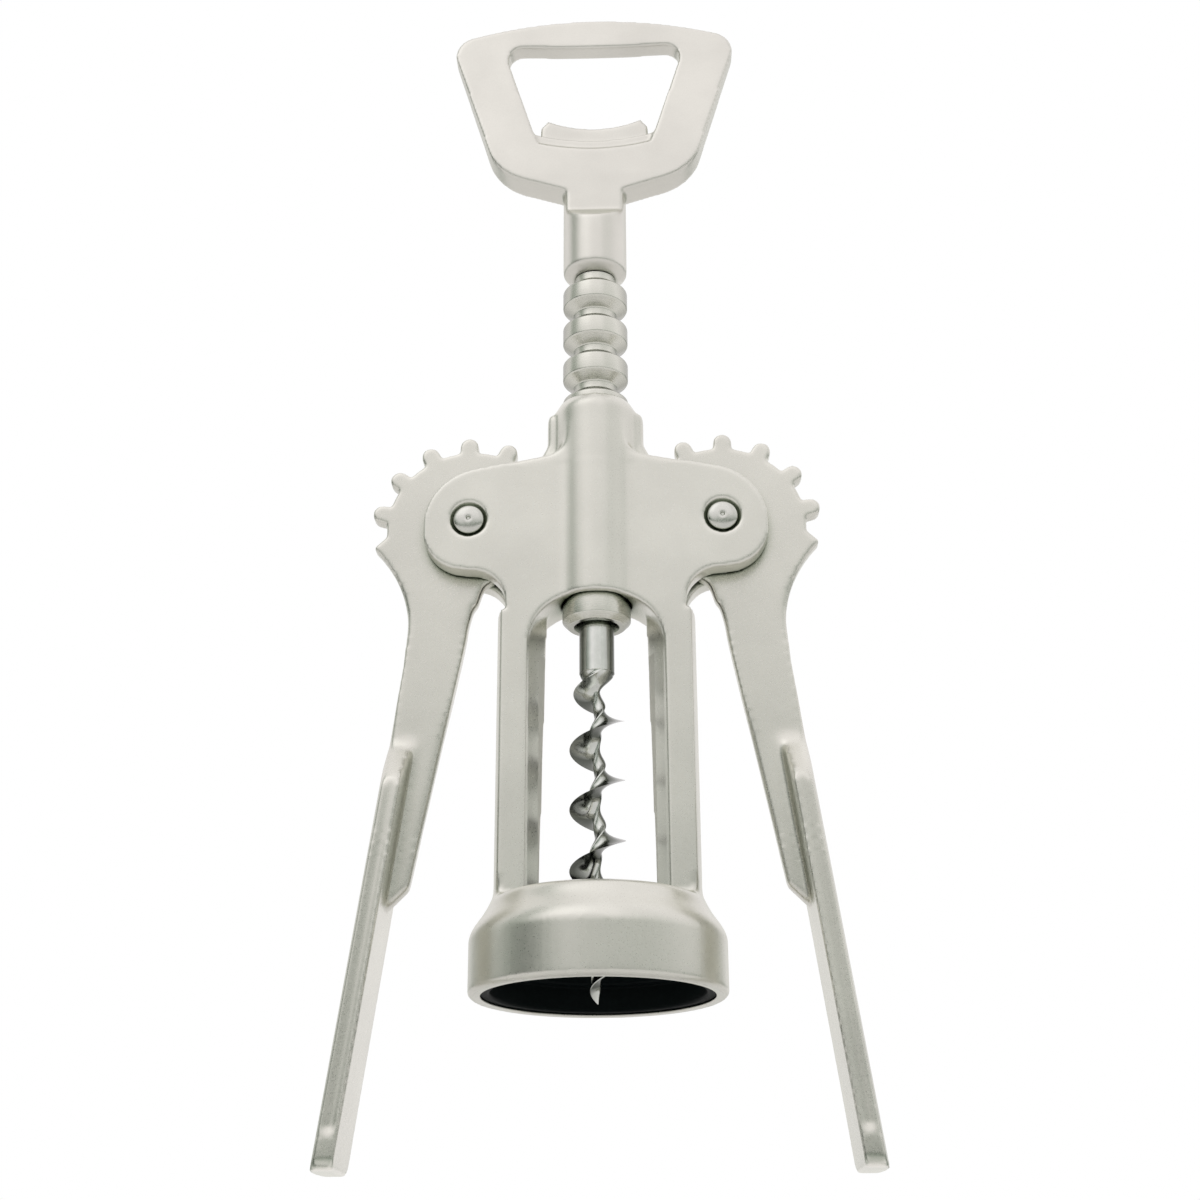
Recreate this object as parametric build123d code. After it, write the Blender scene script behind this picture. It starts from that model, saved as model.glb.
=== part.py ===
from build123d import *
from math import atan2, cos, degrees, pi, radians, sin, sqrt, tan
import os

# Wing corkscrew: a cast frame with a bell, two geared levers, a ringed rack and a turning worm.
#
# Units are millimetres. +Z runs up along the worm, +X to the right and -Y towards the viewer.
# The origin is the centre of the bell's mouth. All pieces stand in the rest pose: levers down,
# rack raised, worm tip level with the mouth. Sizes called rise and drop are heights above and
# below the feature that they are named after or grouped under.

# ---- driving dimensions -------------------------------------------------------------------

# bell that sits on the bottle
bell_radius = 21.0
bell_band_height = 9.2
bell_top = 15.7
bell_top_radius = 17.3
bell_wall = 1.2
bell_ceiling = 3.0
bell_rim_chamfer = 0.5
bell_break_inset = 0.45
bell_break_rise = 1.2
bell_shoulder_inset = 2.4
bell_shoulder_rise = 3.9
bell_cone_inset = 2.3
bell_cone_rise = 3.4

# plastic collar pressed into the bell
finish_diameter = 29.5
finish_clearance = 0.55
cork_way_radius = 12.2
collar_skirt_wall = 2.4
collar_skirt_height = 4.2
collar_recess = 0.5
collar_flange = 1.4

# legs and cheeks of the frame
frame_depth = 11.0
pivot_height = 82.3
pivot_half_spacing = 22.2
leg_arc_radius = 17.1
leg_arc_top_drop = 17.1
leg_edge = 15.5
window_half_width = 11.65
window_top_drop = 14.4
window_corner_round = 9.0
window_land = 0.1
ridge_half_gap_top = 8.5
ridge_half_gap_foot = 9.7
cheek_overhang = 7.95
cheek_low_drop = 10.3
cheek_low_tip_drop = 8.9
cheek_high_tip_rise = 7.95
cheek_high_rise = 13.0
cheek_low_round_share = 0.45
cheek_high_round_share = 0.65
cheek_leg_round = 6.0
cheek_hub_round = 4.8

# hub tube round the rack
hub_radius = 7.5
hub_blend = 4.5
hub_low_drop = 25.6
hub_shoulder_land = 0.9
hub_shoulder_half_width = 5.0
hub_neck_length = 3.4
hub_lip_height = 1.8
hub_lip_inset = 1.0
rib_half_width = 8.6
rib_half_depth = 3.0
rib_height = 8.5
rib_root_depth = 4.0
rib_round = 0.8
rib_foot_height = 2.2
rib_foot_spread = 1.6

# rack rings, turned on a sleeve
rack_radius = 5.95
rack_pitch = 7.605
rack_root_radius = 3.9
rack_root_width = 1.5
rack_groove_width = 4.3
rack_bottom_drop = 18.8
rack_bottom_chamfer = 0.9
rack_mesh_drop = 3.23
rack_grooves = 9
rack_bore_clearance = 0.1
socket_depth = 3.7
socket_clearance = 0.3

# gear levers
gear_teeth = 14
teeth_cut = 8
tooth_width = 3.3
gear_addendum = 0.8
gear_root_depth = 2.05
gear_clearance = 0.35
lever_thickness = 3.0
slot_side_clearance = 0.2
lever_length = 109.0
lever_splay = 7.8
lever_neck_width = 11.1
lever_neck_depth = 26.0
lever_neck_waist = 0.55
lever_neck_rise = 8.0
hook_reach = 17.45
hook_angle = 101.6
hook_foot_turn = 6.0
hook_hollow_radius = 16.6
blade_inner_lean = 11.1
blade_inner_offset = 0.3
blade_inner_start = 21.0
blade_root_offset = 2.5
blade_root_start = 11.3
blade_root_sag = 0.5
gear_relief_offset = 6.5
gear_relief_start = 8.6
gear_relief_edge = 6.4
gear_relief_round = 2.5
blade_end = 64.5
blade_end_chamfer = 3.2
strap_depth = 15.5
strap_edge_thickness = 3.2
strap_crown = 1.05
strap_ramp_start = 39.8
strap_ramp_end = 47.8
strap_ramp_round = 4.0
strap_root_rise = 6.0
strap_corner = 2.2
trough_radius = 1.7
trough_depth = 0.55
trough_stop = 6.2

# rivets that carry the levers
rivet_radius = 2.25
rivet_running_clearance = 0.05
rivet_head_radius = 2.65
rivet_recess_radius = 3.2
rivet_recess_depth = 0.9
rivet_head_rise = 0.4

# worm and its shaft
worm_tip = -1.0
worm_tip_radius = 0.15
worm_radius = 4.7
worm_core_radius = 1.3
worm_core_taper = 6.0
worm_blade_root = 1.0
worm_blade_lean = 0.15
worm_blade_start = 1.0
worm_pitch = 10.4
worm_taper = 12.5
worm_run_out = 7.0
worm_start_angle = 155.0
shank_radius = 3.03
shank_length = 8.7
shank_root_overlap = 0.6
shank_root_inset = 0.5
shaft_radius = 2.5
shaft_running_clearance = 0.06
thrust_gap = 0.08
shaft_grip = 11.0

# handle
neck_length = 18.365
neck_flat_drop = 4.2
handle_height = 40.95
handle_top_radius = 84.0
handle_half_width = 28.3
handle_corner_round = 4.4
handle_side_lean = 16.8
handle_knee_rise = 4.4
handle_knee_round = 11.0
handle_thickness_low = 5.7
handle_thickness_high = 3.3
handle_taper_rise = 4.0
tongue_half_width = 4.9
tongue_overlap = 3.0
tongue_root_round = 1.6
opening_top_drop = 6.75
opening_top_sag = 0.8
opening_half_width = 18.0
opening_corner_round = 3.0
opening_low_rise = 12.2
opening_low_sag = 1.8
pocket_low_rise = 10.0
pocket_low_sag = 1.5
pocket_depth = 0.9
lip_thickness = 1.8
lip_half_width = 10.4
lip_shoulder_rise = 16.1
lip_tip_half_width = 9.0
lip_tip_rise = 17.8
lip_hollow = 2.0

# run-out of cutters beyond the metal that they cut
cut_past = 1.0

# ---- values worked out from them ----------------------------------------------------------

cheek_reach = pivot_half_spacing + cheek_overhang
cheek_low = pivot_height - cheek_low_drop
cheek_low_tip = pivot_height - cheek_low_tip_drop
cheek_high_tip = pivot_height + cheek_high_tip_rise
cheek_high = pivot_height + cheek_high_rise
cheek_low_round = cheek_low_round_share * (cheek_high_tip - cheek_low_tip)
cheek_high_round = cheek_high_round_share * (cheek_high_tip - cheek_low_tip)
leg_arc_top = pivot_height - leg_arc_top_drop
window_top = pivot_height - window_top_drop
hub_low = pivot_height - hub_low_drop
hub_shoulder = cheek_high + cheek_hub_round + hub_shoulder_land
hub_lip_low = hub_shoulder + hub_neck_length
hub_top = hub_lip_low + hub_lip_height
rib_top = cheek_high + rib_height
pitch_radius = rack_pitch * gear_teeth / (2 * pi)
tip_radius = pitch_radius + gear_addendum
root_radius = pitch_radius - gear_root_depth
tooth_step = 360.0 / gear_teeth
slot_radius = tip_radius + gear_clearance
slot_half_depth = lever_thickness / 2 + slot_side_clearance
half_depth = frame_depth / 2
hub_bore_radius = rack_radius + rack_bore_clearance
bell_bore_radius = bell_radius - bell_wall
bell_ceiling_low = bell_top - bell_ceiling
bell_cone_low = bell_ceiling_low - bell_cone_rise
bell_cone_radius = bell_bore_radius - bell_cone_inset
finish_radius = finish_diameter / 2 + finish_clearance
rack_bottom = pivot_height - rack_bottom_drop
rack_first_groove = pivot_height - rack_mesh_drop - rack_pitch
last_groove = rack_first_groove + (rack_grooves - 1) * rack_pitch
sleeve_top = last_groove + rack_root_width / 2
neck_bottom = sleeve_top + thrust_gap
socket_radius = shank_radius + socket_clearance
shank_bottom = rack_bottom - shank_length
shank_top = rack_bottom + socket_depth - thrust_gap
sleeve_bore_radius = shaft_radius + shaft_running_clearance
shaft_top = neck_bottom + shaft_grip
handle_underside = neck_bottom + neck_length
neck_top_flat = handle_underside - neck_flat_drop
handle_top = handle_underside + handle_height
opening_top = handle_top - opening_top_drop
opening_low = handle_underside + opening_low_rise
pocket_low = handle_underside + pocket_low_rise
lip_shoulder = handle_underside + lip_shoulder_rise
lip_tip = handle_underside + lip_tip_rise
side_slope = tan(radians(handle_side_lean))
blade_slope = tan(radians(blade_inner_lean))
splay_slope = tan(radians(lever_splay))
handle_corner = handle_top - handle_top_radius + sqrt(handle_top_radius ** 2 - handle_half_width ** 2)


# ---- helpers ------------------------------------------------------------------------------

def nearest_vertex(face, x, y):
    """Return the vertex of a flat face that lies nearest the point (x, y)."""
    return min(face.vertices(), key=lambda v: (v.X - x) ** 2 + (v.Y - y) ** 2)


def rounded(face, corners):
    """Round the corners given as (x, y, radius) of a flat face."""
    for x, y, radius in corners:
        face = fillet(nearest_vertex(face, x, y), radius)
    return face


def polygon(points):
    """Return the flat face inside a closed ring of points."""
    return make_face(Polyline(*points, close=True))


def mirrored_ring(points):
    """Return a ring of points with its mirror image across the vertical axis, in order."""
    return points + [(-x, z) for x, z in reversed(points) if x != 0]


def front_slab(face, depth):
    """Extrude an (x, z) outline to a slab of the given depth, centred on the mid-plane."""
    return extrude(Plane.XZ * face, amount=depth / 2, both=True)


def side_slab(face, width):
    """Extrude a (y, z) outline to a slab of the given width, centred on x = 0."""
    return extrude(Plane.YZ * face, amount=width / 2, both=True)


def turned(face):
    """Revolve an (r, z) outline about the worm's axis."""
    return revolve(Plane.XZ * face, axis=Axis.Z)


def across(radius, x, z, length):
    """Return a cylinder along Y through the point (x, z)."""
    return Pos(x, 0, z) * Rot(90, 0, 0) * Cylinder(radius, length)


def rod(radius, low, high):
    """Return a cylinder about the worm's axis between two heights."""
    return Pos(0, 0, (low + high) / 2) * Cylinder(radius, high - low)


def both_sides(solid):
    """Return a solid with its mirror image across x = 0."""
    return solid + mirror(solid, about=Plane.YZ)


# ---- frame --------------------------------------------------------------------------------

def bell_shell():
    """Return the bell: a band, a flared shoulder and a ceiling with the cork's way through it."""
    break_high = (bell_radius - bell_break_inset, bell_band_height + bell_break_rise)
    shoulder = (bell_radius - bell_shoulder_inset, bell_band_height + bell_shoulder_rise)
    return turned(polygon([
        (cork_way_radius, bell_top),
        (cork_way_radius, bell_ceiling_low),
        (bell_cone_radius, bell_ceiling_low),
        (bell_bore_radius, bell_cone_low),
        (bell_bore_radius, 0),
        (bell_radius - bell_rim_chamfer, 0),
        (bell_radius, bell_rim_chamfer),
        (bell_radius, bell_band_height),
        break_high,
        shoulder,
        (bell_top_radius, bell_top),
    ]))


def cheek_slab(depth):
    """Return a slab of the given depth whose front outline is both cheeks and both legs."""
    half = polygon([
        (0, bell_ceiling_low),
        (leg_edge, bell_ceiling_low),
        (leg_edge, cheek_low),
        (cheek_reach, cheek_low_tip),
        (cheek_reach, cheek_high_tip),
        (hub_shoulder_half_width, cheek_high),
        (hub_shoulder_half_width, hub_shoulder),
        (0, hub_shoulder),
    ])
    half = rounded(half, [
        (leg_edge, cheek_low, cheek_leg_round),
        (cheek_reach, cheek_low_tip, cheek_low_round),
        (cheek_reach, cheek_high_tip, cheek_high_round),
        (hub_shoulder_half_width, cheek_high, cheek_hub_round),
    ])
    return both_sides(front_slab(half, depth))


def leg_arcs():
    """Return the round outer backs of the legs, as a slice of one cylinder."""
    slice_height = leg_arc_top - bell_ceiling_low
    slab_middle = (leg_arc_top + bell_ceiling_low) / 2
    slab = Pos(0, 0, slab_middle) * Box(3 * leg_arc_radius, frame_depth, slice_height)
    return rod(leg_arc_radius, bell_ceiling_low, leg_arc_top) & slab


def hub_blend_body():
    """Return the hub's tube blended into the cheeks' faces, cut to the cheeks' outline."""
    section = Circle(hub_radius) + Rectangle(2 * rib_half_width, frame_depth)
    crease = sqrt(hub_radius ** 2 - half_depth ** 2)
    section = rounded(section, [
        (sx * crease, sy * half_depth, hub_blend) for sx in (1, -1) for sy in (1, -1)
    ])
    blend = Pos(0, 0, hub_low) * extrude(section, amount=hub_shoulder - hub_low)
    return blend & cheek_slab(4 * hub_radius)


def hub_body():
    """Return the hub: a tube blended into the cheeks' faces, with a rib on each side."""
    tube = turned(polygon([
        (0, hub_low),
        (hub_radius, hub_low),
        (hub_radius, hub_lip_low),
        (hub_radius - hub_lip_inset, hub_top),
        (0, hub_top),
    ]))
    rib = rounded(polygon(mirrored_ring([
        (rib_half_width + rib_foot_spread, cheek_high - rib_root_depth),
        (rib_half_width + rib_foot_spread, cheek_high - rib_round),
        (rib_half_width, cheek_high + rib_foot_height),
        (rib_half_width, rib_top),
    ])), [(side * rib_half_width, rib_top, rib_round) for side in (1, -1)])
    return hub_blend_body() + tube + front_slab(rib, 2 * rib_half_depth)


def window():
    """Return the space between the legs, arched at the top and pinched at the mid-plane."""
    arch = rounded(polygon(mirrored_ring([
        (window_half_width, bell_top),
        (window_half_width, window_top),
    ])), [(side * window_half_width, window_top, window_corner_round) for side in (1, -1)])
    flare = (window_half_width + window_land - ridge_half_gap_top) / half_depth
    sections = []
    for z, gap in ((bell_top, ridge_half_gap_foot), (window_top, ridge_half_gap_top)):
        edge = gap + flare * frame_depth
        ring = [(gap, 0), (edge, frame_depth), (-edge, frame_depth), (-gap, 0),
                (-edge, -frame_depth), (edge, -frame_depth)]
        sections.append(Pos(0, 0, z) * polygon(ring))
    return front_slab(arch, 2 * frame_depth) & loft(sections, ruled=True)


def frame():
    """Return the one-piece frame casting."""
    body = cheek_slab(frame_depth) + leg_arcs() + hub_body()
    body -= window()
    body -= rod(bell_bore_radius, -cut_past, bell_ceiling_low)
    body += bell_shell()
    body -= rod(cork_way_radius, bell_ceiling_low - cut_past, bell_top)
    body -= rod(hub_bore_radius, hub_low, hub_top + cut_past)
    slot = across(slot_radius, pivot_half_spacing, pivot_height, 2 * slot_half_depth)
    pin_way = across(rivet_radius, pivot_half_spacing, pivot_height, 2 * frame_depth)
    recess = across(rivet_recess_radius, pivot_half_spacing, pivot_height, 2 * rivet_recess_depth)
    body -= both_sides(slot)
    body -= both_sides(pin_way)
    for face_y in (half_depth, -half_depth):
        body -= both_sides(Pos(0, face_y, 0) * recess)
    return body


def bottle_collar():
    """Return the plastic collar that lines the bell and seats the bottle's mouth."""
    skirt_radius = bell_bore_radius - collar_skirt_wall
    ledge = collar_recess + collar_skirt_height
    flange_low = bell_ceiling_low - collar_flange
    return turned(polygon([
        (skirt_radius, collar_recess),
        (bell_bore_radius, collar_recess),
        (bell_bore_radius, bell_cone_low),
        (bell_cone_radius, bell_ceiling_low),
        (cork_way_radius, bell_ceiling_low),
        (cork_way_radius, flange_low),
        (finish_radius, flange_low),
        (finish_radius, ledge),
        (skirt_radius, ledge),
    ]))


# ---- rack sleeve --------------------------------------------------------------------------

def groove_cutter(height):
    """Return the ring that cuts one rack groove: a flat root and sloped flanks."""
    half = [
        (rack_root_radius, rack_root_width / 2),
        (rack_radius, rack_groove_width / 2),
        (rack_radius + cut_past, rack_groove_width / 2),
    ]
    lower_half = [(r, -z) for r, z in reversed(half)]
    return Pos(0, 0, height) * turned(polygon(half + lower_half))


def rack_sleeve():
    """Return the ringed sleeve that meshes with both levers."""
    body = rod(rack_radius, rack_bottom, last_groove)
    body = chamfer(body.edges().group_by(Axis.Z)[0], rack_bottom_chamfer)
    body += rod(rack_root_radius, last_groove - cut_past, sleeve_top)
    for index in range(rack_grooves):
        body -= groove_cutter(rack_first_groove + index * rack_pitch)
    body -= rod(sleeve_bore_radius, rack_bottom - cut_past, sleeve_top + cut_past)
    body -= rod(socket_radius, rack_bottom - cut_past, rack_bottom + socket_depth)
    return body


# ---- worm ---------------------------------------------------------------------------------

def worm_blade():
    """Return the helical blade: a thin wedge swept round the axis and tapered at both ends."""
    length = shank_bottom - worm_tip + cut_past
    spine = Line((0, 0, worm_tip), (0, 0, worm_tip + length))
    place = Pos(0, 0, worm_tip) * Rot(0, 0, worm_start_angle)
    wedge = polygon([
        (-worm_blade_root / 2, worm_blade_root - worm_blade_lean),
        (worm_radius, 0),
        (-worm_blade_root / 2, -worm_blade_root - worm_blade_lean),
    ])
    helix = sweep(place * wedge, path=spine, binormal=place * Helix(worm_pitch, length, worm_radius))
    envelope = turned(polygon([
        (0, worm_tip + worm_blade_start),
        (worm_radius * 0.42, worm_tip + worm_taper * 0.28),
        (worm_radius * 0.82, worm_tip + worm_taper * 0.6),
        (worm_radius + cut_past, worm_tip + worm_taper),
        (worm_radius + cut_past, shank_bottom - worm_run_out),
        (shank_radius - shank_root_inset, shank_bottom + shank_root_overlap),
        (0, shank_bottom + shank_root_overlap),
    ]))
    return helix & envelope


def worm():
    """Return the worm: a blade round a tapered core, a shank and the shaft that carries the sleeve."""
    core = turned(polygon([
        (0, worm_tip),
        (worm_tip_radius, worm_tip),
        (worm_core_radius, worm_tip + worm_core_taper),
        (worm_core_radius, shank_bottom + shank_root_overlap),
        (0, shank_bottom + shank_root_overlap),
    ]))
    body = worm_blade() + core + rod(shank_radius, shank_bottom, shank_top)
    return body + rod(shaft_radius, shank_top - cut_past, shaft_top)


# ---- handle -------------------------------------------------------------------------------

def handle_side(height):
    """Return the half-width of the handle's straight side line at a height."""
    return handle_half_width - side_slope * (handle_corner - height)


def handle_outline():
    """Return half of the handle's outer front outline."""
    arc_centre = handle_top - handle_top_radius
    mid = handle_half_width / 2
    arc_mid = (mid, arc_centre + sqrt(handle_top_radius ** 2 - mid ** 2))
    corner = (handle_half_width, handle_corner)
    knee_height = handle_underside + handle_knee_rise
    knee = (handle_side(knee_height), knee_height)
    tongue_high = (tongue_half_width, handle_underside)
    tongue_low = (tongue_half_width, neck_top_flat - tongue_overlap)
    half = make_face(
        ThreePointArc((0, handle_top), arc_mid, corner)
        + Line(corner, knee)
        + Line(knee, tongue_high)
        + Line(tongue_high, tongue_low)
        + Line(tongue_low, (0, tongue_low[1]))
        + Line((0, tongue_low[1]), (0, handle_top))
    )
    return rounded(half, [
        (*corner, handle_corner_round),
        (*knee, handle_knee_round),
        (*tongue_high, tongue_root_round),
    ])


def opening_outline(low, sag):
    """Return half of the finger opening's outline, ended below by an arc that sags to the middle."""
    top_edge = opening_top + opening_top_sag
    foot = opening_half_width - side_slope * (top_edge - low - sag)
    half = make_face(
        ThreePointArc((0, opening_top), (opening_half_width / 2, opening_top + opening_top_sag / 4),
                      (opening_half_width, top_edge))
        + Line((opening_half_width, top_edge), (foot, low + sag))
        + ThreePointArc((foot, low + sag), (foot / 2, low + sag / 4), (0, low))
        + Line((0, low), (0, opening_top))
    )
    return rounded(half, [(opening_half_width, top_edge, opening_corner_round)])


def lifter_lip():
    """Return the cap lifter's lip, a thin plate with a hollow upper edge."""
    lip = front_slab(polygon(mirrored_ring([
        (lip_half_width, pocket_low),
        (lip_half_width, lip_shoulder),
        (lip_tip_half_width, lip_tip),
    ])), lip_thickness)
    radius = (lip_tip_half_width ** 2 + lip_hollow ** 2) / (2 * lip_hollow)
    return lip - across(radius, 0, lip_tip - lip_hollow + radius, handle_thickness_low)


def handle_plate():
    """Return the handle's flat ring, tapered in thickness, with its opening and lifter pocket."""
    half_low = handle_thickness_low / 2
    half_high = handle_thickness_high / 2
    taper_start = handle_underside + handle_taper_rise
    taper = side_slab(polygon(mirrored_ring([
        (half_low, neck_top_flat - tongue_overlap),
        (half_low, taper_start),
        (half_high, handle_top + cut_past),
    ])), 3 * handle_half_width)
    body = both_sides(front_slab(handle_outline(), 2 * handle_thickness_low)) & taper
    opening = both_sides(front_slab(opening_outline(opening_low, opening_low_sag), 2 * rack_radius))
    pocket = both_sides(front_slab(opening_outline(pocket_low, pocket_low_sag), handle_thickness_low))
    body -= opening
    for side in (1, -1):
        body -= Pos(0, side * (handle_thickness_low - pocket_depth), 0) * pocket
    return body + lifter_lip()


def neck_body():
    """Return the handle's round neck, cut by two sloped flats that run out into the plate."""
    half_low = handle_thickness_low / 2
    past = rack_radius + cut_past
    flats = side_slab(polygon(mirrored_ring([
        (past, neck_bottom - cut_past),
        (past, neck_top_flat - past + half_low),
        (half_low, neck_top_flat),
        (half_low, handle_underside + cut_past),
    ])), 4 * rack_radius)
    neck = rod(rack_radius, neck_bottom, handle_underside)
    return (neck & flats) - groove_cutter(last_groove)


def handle():
    """Return the handle casting: a flat ring with a cap lifter, on a round neck."""
    body = handle_plate() + neck_body()
    return body - rod(shaft_radius, neck_bottom - cut_past, shaft_top)


# ---- levers -------------------------------------------------------------------------------

def gear_face():
    """Return the toothed disc of the right lever about its pivot, in (x, z)."""
    first_angle = 180 + degrees(rack_mesh_drop / pitch_radius)
    disc = Circle(root_radius)
    tooth_centre = tip_radius - tooth_width / 2
    for index in range(teeth_cut):
        angle = first_angle - index * tooth_step
        tooth = Pos(tooth_centre / 2, 0) * Rectangle(tooth_centre, tooth_width)
        tooth += Pos(tooth_centre, 0) * Circle(tooth_width / 2)
        disc += Rot(0, 0, angle) * tooth
    relief = rounded(polygon([
        (-2 * tip_radius, -gear_relief_edge),
        (-gear_relief_offset, -gear_relief_start),
        (-blade_root_offset, -blade_root_start),
        (blade_inner_offset, -blade_inner_start),
        (-2 * tip_radius, -blade_inner_start),
    ]), [(-gear_relief_offset, -gear_relief_start, gear_relief_round)])
    return disc - relief


def at_bearing(radius, bearing):
    """Return the point at a radius from the pivot and an angle from straight up, in (x, z)."""
    return (radius * sin(radians(bearing)), radius * cos(radians(bearing)))


def strap_line(z):
    """Return the x of the lever's outer line at a height from the pivot."""
    return lever_neck_width + splay_slope * (-z - lever_neck_depth)


def blade_face():
    """Return the flat blade of the right lever below its gear, in (x, z) about the pivot."""
    hook = at_bearing(hook_reach, hook_angle)
    hook_foot = at_bearing(root_radius, hook_angle - hook_foot_turn)
    neck_low = (lever_neck_width, -lever_neck_depth)
    neck_high = (lever_neck_width - lever_neck_waist, -lever_neck_depth + lever_neck_rise)
    hollow_x = neck_high[0] + hook_hollow_radius
    hook_turn = 180 + degrees(atan2(hook[1] - neck_high[1], hook[0] - hollow_x))
    hollow_mid = (hollow_x + hook_hollow_radius * cos(radians(hook_turn / 2)),
                  neck_high[1] + hook_hollow_radius * sin(radians(hook_turn / 2)))
    inner_root = (-blade_root_offset, -blade_root_start)
    inner_high = (blade_inner_offset, -blade_inner_start)
    inner_mid = ((inner_root[0] + inner_high[0]) / 2 + blade_root_sag, (inner_root[1] + inner_high[1]) / 2)
    inner_low = (blade_inner_offset + blade_slope * (blade_end - blade_inner_start), -blade_end)
    foot_z = -blade_end - blade_end_chamfer
    outer_foot = (strap_line(foot_z), foot_z)
    foot = (inner_low[0] + blade_end_chamfer, foot_z)
    return make_face(
        Line((0, 0), inner_root)
        + ThreePointArc(inner_root, inner_mid, inner_high)
        + Line(inner_high, inner_low)
        + Line(inner_low, foot)
        + Line(foot, outer_foot)
        + Line(outer_foot, neck_low)
        + Line(neck_low, neck_high)
        + ThreePointArc(neck_high, hollow_mid, hook)
        + Line(hook, hook_foot)
        + Line(hook_foot, (0, 0))
    )


def strap_outline():
    """Return the strap's outline seen from the side, in (y, z) about the pivot."""
    blade_half = lever_thickness / 2
    half = strap_depth / 2
    corners = []
    for side in (1, -1):
        corners += [
            (side * half, -lever_length, strap_corner),
            (side * half, -strap_ramp_end, strap_ramp_round),
            (side * blade_half, -strap_ramp_start, strap_ramp_round),
        ]
    return rounded(polygon(mirrored_ring([
        (blade_half, strap_root_rise - strap_ramp_start),
        (blade_half, -strap_ramp_start),
        (half, -strap_ramp_end),
        (half, -lever_length),
    ])), corners)


def strap_trough(side):
    """Return the long round-ended groove along one edge of the strap."""
    run = lever_length - trough_stop - strap_ramp_end
    middle = -(strap_ramp_end + lever_length - trough_stop) / 2
    x = strap_line(middle) - strap_crown - strap_edge_thickness / 2
    y = side * (strap_depth / 2 + trough_radius - trough_depth)
    trough = Cylinder(trough_radius, run)
    for end in (1, -1):
        trough += Pos(0, 0, end * run / 2) * Sphere(trough_radius)
    return Pos(x, y, middle) * Rot(0, -lever_splay, 0) * trough


def strap_body():
    """Return the deep outer strap of the right lever, crowned outside, about its pivot."""
    top = strap_root_rise - strap_ramp_start
    thickness = strap_edge_thickness + strap_crown
    band = front_slab(polygon([
        (strap_line(top), top),
        (strap_line(-lever_length), -lever_length),
        (strap_line(-lever_length) - thickness, -lever_length),
        (strap_line(top) - thickness, top),
    ]), strap_depth)
    body = band & side_slab(strap_outline(), 2 * lever_length)
    crown_radius = ((strap_depth / 2) ** 2 + strap_crown ** 2) / (2 * strap_crown)
    middle = -(lever_length + strap_ramp_start) / 2
    crown = Pos(strap_line(middle), 0, middle) * Rot(0, -lever_splay, 0) * Pos(-crown_radius, 0, 0)
    body &= crown * Cylinder(crown_radius, 2 * lever_length)
    for side in (1, -1):
        body -= strap_trough(side)
    return body


def right_lever():
    """Return the right lever: gear, blade and strap, with the bore for its rivet."""
    plate = front_slab(gear_face() + blade_face(), lever_thickness)
    body = plate + strap_body()
    body -= across(rivet_radius + rivet_running_clearance, 0, 0, 2 * frame_depth)
    return Pos(pivot_half_spacing, 0, pivot_height) * body


# ---- rivets -------------------------------------------------------------------------------

def right_rivet():
    """Return the right lever's rivet, with a raised head in each recess of the cheeks."""
    head_low = half_depth - rivet_recess_depth
    head_high = half_depth + rivet_head_rise
    profile = polygon([
        (0, head_high),
        (rivet_head_radius, head_high),
        (rivet_head_radius, head_low),
        (rivet_radius, head_low),
        (rivet_radius, -head_low),
        (rivet_head_radius, -head_low),
        (rivet_head_radius, -head_high),
        (0, -head_high),
    ])
    body = revolve(Plane.XZ * profile, axis=Axis.Z)
    return Pos(pivot_half_spacing, 0, pivot_height) * Rot(90, 0, 0) * body


# ---- output -------------------------------------------------------------------------------

def pieces():
    """Return every piece by name."""
    lever = right_lever()
    rivet = right_rivet()
    return {
        "frame": frame(),
        "bottle_collar": bottle_collar(),
        "rack_sleeve": rack_sleeve(),
        "worm": worm(),
        "handle": handle(),
        "right_lever": lever,
        "left_lever": mirror(lever, about=Plane.YZ),
        "right_rivet": rivet,
        "left_rivet": mirror(rivet, about=Plane.YZ),
    }


os.makedirs("parts", exist_ok=True)
for name, piece in pieces().items():
    export_step(piece, f"parts/{name}.step")
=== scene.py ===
"""Looks of a wing corkscrew in satin nickel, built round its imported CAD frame."""
import logging
import math
from dataclasses import dataclass
from enum import Enum
from typing import Optional, Sequence

import bmesh
import bpy
from mathutils import Matrix, Vector


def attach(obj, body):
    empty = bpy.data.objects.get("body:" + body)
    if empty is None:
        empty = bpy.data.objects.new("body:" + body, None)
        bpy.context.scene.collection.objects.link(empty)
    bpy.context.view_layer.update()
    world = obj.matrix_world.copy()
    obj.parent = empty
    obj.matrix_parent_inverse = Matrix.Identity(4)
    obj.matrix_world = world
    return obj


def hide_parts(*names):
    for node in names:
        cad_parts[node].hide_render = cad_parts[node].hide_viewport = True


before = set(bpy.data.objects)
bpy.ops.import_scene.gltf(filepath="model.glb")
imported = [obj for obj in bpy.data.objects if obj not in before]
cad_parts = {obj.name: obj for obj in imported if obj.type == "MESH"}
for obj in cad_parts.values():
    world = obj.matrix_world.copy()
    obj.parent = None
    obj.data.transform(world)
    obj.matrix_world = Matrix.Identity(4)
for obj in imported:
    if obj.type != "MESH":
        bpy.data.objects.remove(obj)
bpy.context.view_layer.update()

LOG = logging.getLogger("corkscrew")
MM = 0.001
FULL_TURN = 2 * math.pi
MERGE_DISTANCE = 0.002 * MM

Point = tuple[float, float]
Colour = tuple[float, float, float, float]
Stops = Sequence[tuple[float, object]]

WHITE: Colour = (1.0, 1.0, 1.0, 1.0)


class Side(Enum):
    """Side of the tool, seen from the front, with the sign of its x."""

    RIGHT = 1
    LEFT = -1


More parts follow.
